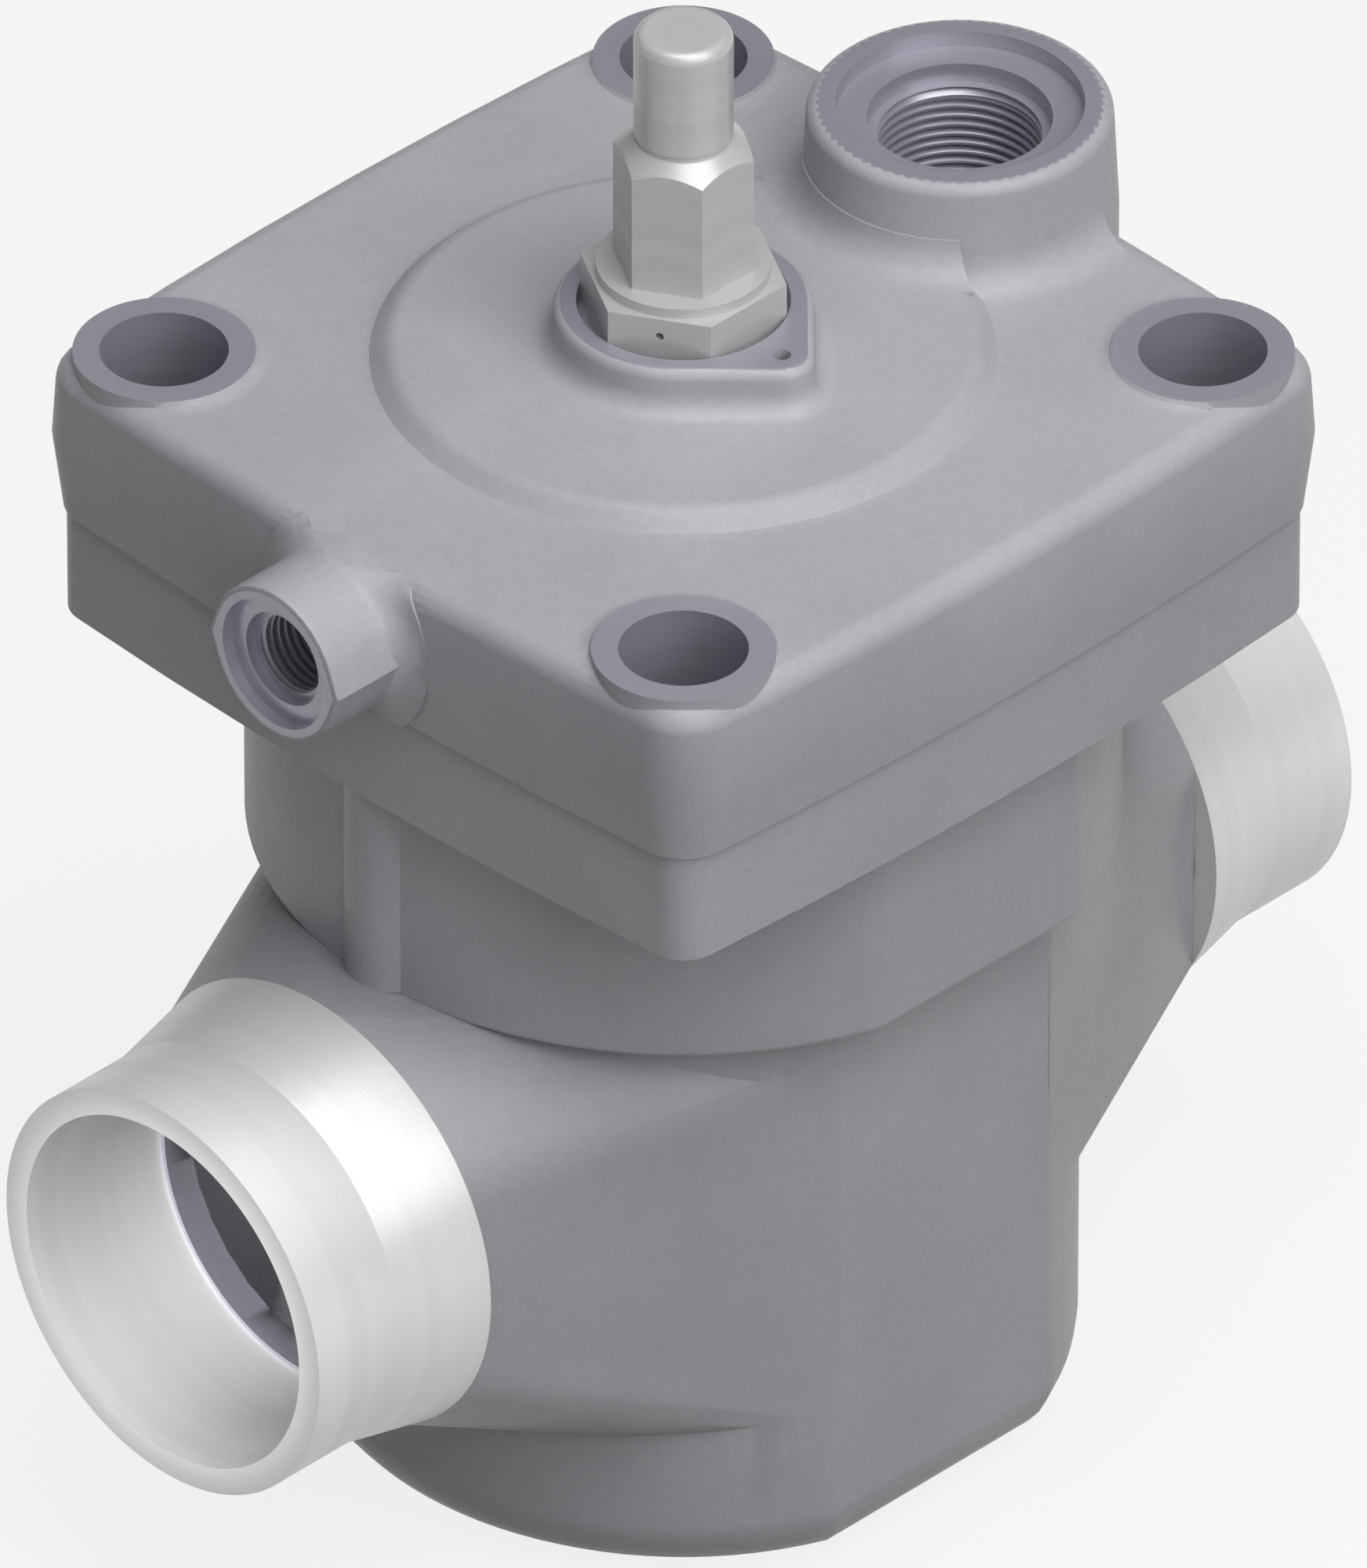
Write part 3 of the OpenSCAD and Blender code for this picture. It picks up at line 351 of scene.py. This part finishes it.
def open_bore(shape, point, axis, radius, low, high):
    """Takes the wall out of a bore, so that a thread can stand in its place."""
    wall = []
    for face in shape.faces:
        if abs(face.normal.dot(axis)) > 0.1:
            continue
        arms = [v.co - point for v in face.verts]
        along = [a.dot(axis) for a in arms]
        away = [(a - axis * s).length for a, s in zip(arms, along)]
        on_wall = max(abs(r - radius) for r in away) < SAME
        if on_wall and min(along) > low - SAME and max(along) < high + SAME:
            wall.append(face)
    if not wall:
        raise ValueError(f"no wall of radius {radius} was found")
    bmesh.ops.delete(shape, geom=wall, context="FACES")


def thread_wall(crest_r, root_r, pitch, length, steps=ROUND_STEPS):
    """Thread round Z from 0 up to length: one zigzag line, turned once round while it climbs one pitch."""
    shape = bmesh.new()
    flat = pitch / 8
    middle = pitch / 2
    zigzag = (
        (crest_r, flat),
        (root_r, middle - flat / 2),
        (root_r, middle + flat / 2),
        (crest_r, pitch - flat),
    )
    line = []
    for turn in range(-1, math.ceil(length / pitch) + 1):
        for radius, height in zigzag:
            line.append(shape.verts.new((radius, 0, turn * pitch + height)))
    edges = [shape.edges.new(pair) for pair in zip(line, line[1:])]
    bmesh.ops.spin(shape, geom=line + edges, cent=(0, 0, 0), axis=Z_AXIS, dvec=(0, 0, pitch / steps),
                   angle=2 * math.pi, steps=steps, use_merge=False)
    bmesh.ops.remove_doubles(shape, verts=shape.verts, dist=MERGE)
    for height, side in ((0, -1), (length, 1)):
        everything = shape.verts[:] + shape.edges[:] + shape.faces[:]
        bmesh.ops.bisect_plane(shape, geom=everything, plane_co=(0, 0, height), plane_no=(0, 0, side),
                               clear_outer=True)
    bmesh.ops.recalc_face_normals(shape, faces=shape.faces)
    outwards = sum(f.normal.dot(Vector((*f.calc_center_median().xy, 0))) for f in shape.faces)
    if (outwards > 0) != (crest_r > root_r):
        bmesh.ops.reverse_faces(shape, faces=shape.faces)
    return shape


def add_ring(shape, start_r, end_r, start_z, end_z):
    """Adds a round or conical ring from one radius and height to another."""
    ring = bmesh.ops.create_circle(shape, radius=start_r, segments=ROUND_STEPS, cap_ends=False)["verts"]
    edges = [e for e in shape.edges if all(v in ring for v in e.verts)]
    bmesh.ops.translate(shape, verts=ring, vec=(0, 0, start_z))
    grown = bmesh.ops.extrude_edge_only(shape, edges=edges)["geom"]
    far = [g for g in grown if isinstance(g, bmesh.types.BMVert)]
    bmesh.ops.scale(shape, vec=(end_r / start_r, end_r / start_r, 1), verts=far)
    bmesh.ops.translate(shape, verts=far, vec=(0, 0, end_z - start_z))


def port_thread(thread, length, depth, mouth_r, inner_r, steps=ROUND_STEPS):
    """Thread from 0 up to length, and the countersink from there to the mouth of the port, at depth."""
    overlap = 0.1
    shape = thread_wall(*thread, length, steps)
    add_ring(shape, mouth_r, inner_r, depth, length - overlap)
    return shape


def mark_creases(shape):
    """Keeps the edges sharp that bend enough, and smooths the rest."""
    for edge in shape.edges:
        run = edge.verts[1].co - edge.verts[0].co
        upright = run.xy.length < 0.01 and run.length > UPRIGHT_LENGTH
        bend = math.degrees(edge.calc_face_angle(0))
        edge.smooth = bend < (UPRIGHT_SHARP if upright else SHARP)
    for face in shape.faces:
        face.smooth = True


def finish_piece(shape, name, materials, body, replaced=()):
    """Makes the object of a shape in millimetres, with its creases kept, and rides it on its body."""
    mark_creases(shape)
    bmesh.ops.scale(shape, vec=(MM, MM, MM), verts=shape.verts)
    mesh = bpy.data.meshes.new(name)
    shape.to_mesh(mesh)
    shape.free()
    for material in materials:
        mesh.materials.append(material)
    piece = bpy.data.objects.new(name, mesh)
    bpy.context.scene.collection.objects.link(piece)
    even = piece.modifiers.new("even_normals", "WEIGHTED_NORMAL")
    even.keep_sharp = True
    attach(piece, body)
    if replaced:
        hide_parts(*replaced)


def to_x(shape, direction, start, height):
    """Turns a shape from the Z axis to the X axis, in the given direction, and moves it to its place."""
    turn = Matrix.Rotation(math.radians(90 * direction), 3, "Y")
    bmesh.ops.rotate(shape, cent=(0, 0, 0), matrix=turn, verts=shape.verts)
    bmesh.ops.translate(shape, verts=shape.verts, vec=(start, 0, height))


def paint_faces(shape, rules):
    """Gives each face the number of the last rule that holds at its middle."""
    for face in shape.faces:
        middle = face.calc_center_median()
        for number, rule in rules:
            if rule(middle, face.normal):
                face.material_index = number


def from_bolt(p):
    return math.hypot(abs(p.x) - BOLT_XY, abs(p.y) - BOLT_XY)


def from_pilot(p):
    return math.hypot(p.x - PILOT_X, p.y)


def from_gauge(p):
    return math.hypot(p.y, p.z - PARTING_Z)


def from_spindle(p):
    return math.hypot(p.x, p.y)


def from_pipe(p):
    return math.hypot(p.y, p.z - PIPE_Z)


def settle_gauge_blend(p):
    """Draws a point of the gauge boss's blend in to the round edge of the cover, the outer ones the most."""
    boss_r, blend_r = 12.2, 15.9
    edge_x, edge_z, edge_r = -60.2, 162.2, 4.05
    rise = p.z - edge_z
    on_blend = p.x < -61 and 0 < rise < edge_r and boss_r < from_gauge(p) < blend_r + 0.1
    if on_blend and math.hypot(p.x - edge_x, rise) > edge_r + 0.25:
        outer = (from_gauge(p) - boss_r) / (blend_r - boss_r)
        p.x += outer * (edge_r - math.sqrt(edge_r ** 2 - rise ** 2))
        arm = Vector((p.x - edge_x, 0, rise))
        p -= arm.normalized() * (arm.length - edge_r) * outer * (rise / edge_r) ** 2


def settle_bolt_blend(p):
    """Lowers a point of a bolt boss's blend to the cover where the flat top of the cover ends."""
    flat_reach, run_out = 59.2, 2.5
    blend_w, blend_h = 2.4, 0.9
    if 0.05 < from_bolt(p) - BOLT_BOSS_R < blend_w and 0 < p.z - COVER_TOP < blend_h:
        inside = flat_reach - max(abs(p.x), abs(p.y))
        p.z = COVER_TOP + (p.z - COVER_TOP) * min(1, max(0, inside / run_out))


def settle_blends(shape):
    """Lets the blends of the gauge boss and the bolt bosses run out at the edge of the cover."""
    for vert in shape.verts:
        settle_gauge_blend(vert.co)
        settle_bolt_blend(vert.co)
    bmesh.ops.dissolve_degenerate(shape, dist=SAME, edges=shape.edges)


def make_cover():
    """Cover casting with its machined faces and the pilot and gauge threads."""
    # Limits that tell the machined faces from the others, by height, reach or distance from an axis
    room_top, room_r, recess_r = 153, 59, 62
    gland_bottom, pocket_r = 160, 14.6
    drop_face_z, drop_reach = 175.4, 30
    seat_z, hole_r = 167.1, 8.8
    pilot_bottom, pilot_bore_r, pilot_face_z, pilot_face_r = 157, 17.1, 182.05, 19.3
    gauge_bottom, gauge_bore_r, gauge_face_x, gauge_face_r = -56, 9.8, -77.75, 11

    shape = merged_copy("top_cover")
    settle_blends(shape)
    open_bore(shape, Vector((PILOT_X, 0, 0)), Z_AXIS, PILOT_THREAD[0], *PILOT_WALL)
    open_bore(shape, Vector((0, 0, PARTING_Z)), X_AXIS, GAUGE_THREAD[0], *GAUGE_WALL)
    paint_faces(shape, [
        (1, lambda p, n: p.z < room_top and from_spindle(p) < (recess_r if n.z < -0.9 else room_r)),
        (1, lambda p, n: p.z < JOINT_Z + 0.05),
        (1, lambda p, n: p.z > gland_bottom and from_spindle(p) < pocket_r),
        (1, lambda p, n: p.z > drop_face_z and n.z > 0.95 and from_spindle(p) < drop_reach),
        (2, lambda p, n: p.z > seat_z and from_bolt(p) < BOLT_BOSS_R + 0.05),
        (2, lambda p, n: from_bolt(p) < hole_r),
        (3, lambda p, n: p.z > pilot_bottom and from_pilot(p) < pilot_bore_r),
        (3, lambda p, n: p.z > pilot_face_z and from_pilot(p) < pilot_face_r),
        (4, lambda p, n: p.x < gauge_bottom and from_gauge(p) < gauge_bore_r),
        (4, lambda p, n: p.x < gauge_face_x and from_gauge(p) < gauge_face_r),
    ])
    finish_piece(shape, "cover_casting", [cast_grey, cut_spindle, cut_bolt_seat, cut_pilot, cut_gauge],
                 "valve", ["top_cover"])

    pilot_foot, pilot_end = PILOT_WALL
    pilot = port_thread(PILOT_THREAD, 12.8, pilot_end - pilot_foot, mouth_r=12.55, inner_r=11.1)
    bmesh.ops.translate(pilot, verts=pilot.verts, vec=(PILOT_X, 0, pilot_foot))
    finish_piece(pilot, "pilot_thread", [cut_pilot], "valve")

    gauge_end, gauge_foot = GAUGE_WALL
    gauge = port_thread(GAUGE_THREAD, 11.2, gauge_foot - gauge_end, mouth_r=6.85, inner_r=5.66)
    to_x(gauge, -1, gauge_foot, PARTING_Z)
    finish_piece(gauge, "gauge_thread", [cut_gauge], "valve")


def make_body():
    """Body casting with its machined faces and four threads for the cover bolts."""
    # Limits that tell the machined faces from the others
    module_bore_r, module_bore_z = 47.2, 92
    pipe_end_x, pipe_end_r = 69.85, 29.1
    bolts = [Vector((x * BOLT_XY, y * BOLT_XY, 0)) for x, y in ((-1, -1), (1, -1), (1, 1), (-1, 1))]

    shape = merged_copy("valve_body")
    for bolt in bolts:
        open_bore(shape, bolt, Z_AXIS, BOLT_THREAD[0], FLANGE_Z, JOINT_Z)
    paint_faces(shape, [
        (1, lambda p, n: p.z > JOINT_Z - 0.05),
        (1, lambda p, n: p.z > module_bore_z and from_spindle(p) < module_bore_r),
        (2, lambda p, n: abs(p.x) > pipe_end_x and from_pipe(p) < pipe_end_r),
    ])
    finish_piece(shape, "body_casting", [cast_grey, cut_spindle, cut_pipe], "valve",
                 ["valve_body"])
    for number, bolt in enumerate(bolts, start=1):
        thread = port_thread(BOLT_THREAD, 15.3, JOINT_Z - FLANGE_Z, mouth_r=8.2, inner_r=6.85, steps=48)
        bmesh.ops.translate(thread, verts=thread.verts, vec=bolt + Vector((0, 0, FLANGE_Z)))
        finish_piece(thread, f"bolt_thread_{number}", [cut_bolt_seat], "valve")


def same_shape(node, name, materials):
    """A piece on the valve that has the shape and the shading of a CAD node."""
    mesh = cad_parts[node].data.copy()
    mesh.materials.clear()
    for material in materials:
        mesh.materials.append(material)
    piece = bpy.data.objects.new(name, mesh)
    bpy.context.scene.collection.objects.link(piece)
    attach(piece, "valve")
    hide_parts(node)
    return piece


def make_stubs():
    """Weld stubs, turned bright outside; the bore has a lighter, less metallic copy of the steel, painted light
    in the shaded inside of the pipe.
    """
    for side in ("inlet", "outlet"):
        stub = same_shape(f"{side}_weld_stub", f"{side}_stub_turned", [stub_steel, stub_bore_painted_light])
        # Faces inside the bore take the lighter copy of the steel, which is painted light.
        for face in stub.data.polygons:
            face.material_index = 1 if from_pipe(face.center / MM) < STUB_BORE_R else 0


def make_spring():
    """Closing spring, which on the valve gets shorter as the piston goes down to its stop; here it is a copy of
    the CAD node with a mesh of its own.
    """
    spring = same_shape("closing_spring", "wound_spring", [spring_steel])
    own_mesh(spring)


# A plain wall round the spindle axis: its radius and ends, and the ends, pitch and root of the thread on it
Wall = namedtuple("Wall", "name radius low high start end pitch root")


def make_threaded(node, material, body, walls):
    """A turned node with threads cut in its plain walls."""
    shape = merged_copy(node)
    for wall in walls:
        open_bore(shape, Vector((0, 0, 0)), Z_AXIS, wall.radius, wall.low, wall.high)
    finish_piece(shape, f"{node}_turned", [material], body, [node])
    for wall in walls:
        thread = thread_wall(wall.radius, wall.root, wall.pitch, wall.end - wall.start)
        bmesh.ops.translate(thread, verts=thread.verts, vec=(0, 0, wall.start))
        for below, above in ((wall.low, wall.start), (wall.end, wall.high)):
            if above > below:
                add_ring(thread, wall.radius, wall.radius, below, above)
        finish_piece(thread, wall.name, [material], body)


def make_spindle_parts():
    """Gland nut, spindle, cap and piston rod, all with their threads."""
    make_threaded("gland_nut", zinc_steel, "valve", [
        Wall("sleeve_thread", 6.95, GLAND_TOP, 190.0, 181.6, 189.4, SPINDLE_PITCH, 6.05),
        Wall("shank_thread", 10.0, 160.0, 172.5, 160.6, 170.1, SPINDLE_PITCH, 9.1),
    ])
    make_threaded("manual_spindle", turned_steel, "spindle", [
        Wall("spindle_thread", 7.0, 150.8, 167.85, 151.2, 160.4, SPINDLE_PITCH, 6.1),
    ])
    make_threaded("spindle_cap", zinc_steel, "cap", [
        Wall("cap_thread", 7.0, 181.9, 191.0, 182.6, 190.4, SPINDLE_PITCH, 7.85),
    ])
    make_threaded("piston_rod", turned_steel, "piston", [
        Wall("rod_upper_thread", 6.0, 129.0, 141.2, 134.0, 140.8, ROD_PITCH, 5.25),
        Wall("rod_lower_thread", 6.0, 40.0, 60.0, 40.3, 48.0, ROD_PITCH, 5.25),
    ])


def dress_nodes():
    """Gives every CAD node that stays its own finish."""
    finishes = [
        (zinc_steel, ["cap_washer", "piston_nut", "cone_nut"]),
        (turned_steel, ["module_cylinder", "servo_piston", "throttle_cone"]),
        (turned_steel, ["seat_retainer", "spring_washer"]),
        (bush_brass, ["guide_bush"]),
        (ring_plastic, ["piston_ring_upper", "piston_ring_lower"]),
        (seat_plastic, ["seat_disc"]),
        (seal_rubber, ["module_upper_o_ring", "module_lower_o_ring", "gland_o_ring", "spindle_o_ring"]),
        (gasket_fibre, ["cover_gasket"]),
    ]
    for material, nodes in finishes:
        for node in nodes:
            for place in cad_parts[node].material_slots:
                place.material = material


# Floor, light and camera


def make_floor():
    """Plain white floor that keeps the part's shadow."""
    half_width, below, glow = 8, 0.0004, 0.84
    shape = bmesh.new()
    bmesh.ops.create_grid(shape, x_segments=1, y_segments=1, size=half_width)
    mesh = bpy.data.meshes.new("floor")
    shape.to_mesh(mesh)
    shape.free()
    floor = bpy.data.objects.new("floor", mesh)
    floor.location.z = -below
    bpy.context.scene.collection.objects.link(floor)
    material, tree, shader = principled("floor_white", metallic=0.0, specular=0.0)
    shader.inputs["Roughness"].default_value = 1.0
    shader.inputs["Base Color"].default_value = (0.1, 0.1, 0.1, 1)
    shader.inputs["Emission Color"].default_value = (1, 1, 1, 1)
    path = tree.nodes.new("ShaderNodeLightPath")
    seen = math_node(tree, "MAXIMUM", path.outputs["Is Camera Ray"], path.outputs["Is Glossy Ray"])
    tree.links.new(math_node(tree, "MULTIPLY", seen, glow), shader.inputs["Emission Strength"])
    mesh.materials.append(material)


def make_world():
    """Soft even light, with a white background behind the part."""
    world = bpy.data.worlds.new("studio")
    bpy.context.scene.world = world
    world.use_nodes = True
    tree = world.node_tree
    light = tree.nodes["Background"]
    light.inputs["Color"].default_value = (0.93, 0.95, 1.0, 1)
    light.inputs["Strength"].default_value = 0.13
    white = tree.nodes.new("ShaderNodeBackground")
    white.inputs["Color"].default_value = (1, 1, 1, 1)
    white.inputs["Strength"].default_value = 1.0
    mix = tree.nodes.new("ShaderNodeMixShader")
    path = tree.nodes.new("ShaderNodeLightPath")
    tree.links.new(path.outputs["Is Camera Ray"], mix.inputs[0])
    tree.links.new(light.outputs[0], mix.inputs[1])
    tree.links.new(white.outputs[0], mix.inputs[2])
    tree.links.new(mix.outputs[0], tree.nodes["World Output"].inputs["Surface"])


def place_item(name, data, place, back):
    """Puts a lamp or camera at a place, with its back in a direction."""
    item = bpy.data.objects.new(name, data)
    item.location = place
    item.rotation_mode = "QUATERNION"
    item.rotation_quaternion = back.to_track_quat("Z", "Y")
    bpy.context.scene.collection.objects.link(item)
    return item


def area_lamp(name, place, target, size, power):
    """A soft square lamp that looks at a point."""
    lamp = bpy.data.lights.new(name, "AREA")
    lamp.size = size
    lamp.energy = power
    place_item(name, lamp, place, Vector(place) - Vector(target))


def pipe_lamp(place, target, width, power):
    """A narrow lamp that shines into the mouth of the inlet."""
    lamp = bpy.data.lights.new("pipe", "SPOT")
    back = Vector(place) - Vector(target)
    lamp.spot_size = 2 * math.atan(width / 2 / back.length)
    lamp.spot_blend = 0.4
    lamp.shadow_soft_size = 0.01
    lamp.energy = power
    place_item("pipe", lamp, place, back)


def make_camera():
    """Long lens at the picture's angle, which is that of an isometric drawing."""
    elevation, distance, aim_z = 35.264, 5.91, 0.0955
    camera = bpy.data.cameras.new("camera")
    camera.lens = 1000
    camera.sensor_width = 36
    camera.clip_start = 0.5
    camera.clip_end = 40
    back = Vector((-1, -1, math.sqrt(2) * math.tan(math.radians(elevation)))).normalized()
    place = Vector((0, 0, aim_z)) + back * distance
    bpy.context.scene.camera = place_item("camera", camera, place, back)


make_camera()
make_world()
make_floor()
area_lamp("key", place=(-0.07, -1.05, 0.94), target=(0, 0, 0.1), size=1.1, power=9.2)
area_lamp("top", place=(-0.04, -0.26, 1.4), target=(0, 0, 0.1), size=1.0, power=11)
area_lamp("front", place=(-1.0, -0.77, 0.66), target=(0, 0, 0.08), size=1.0, power=1.95)
pipe_lamp(place=(-1.1, -0.3, 0.42), target=(-0.099, 0, PIPE_Z * MM), width=0.05, power=75)

make_body()
make_cover()
make_stubs()
make_spring()
make_spindle_parts()
dress_nodes()

bpy.context.scene.view_settings.view_transform = "Standard"
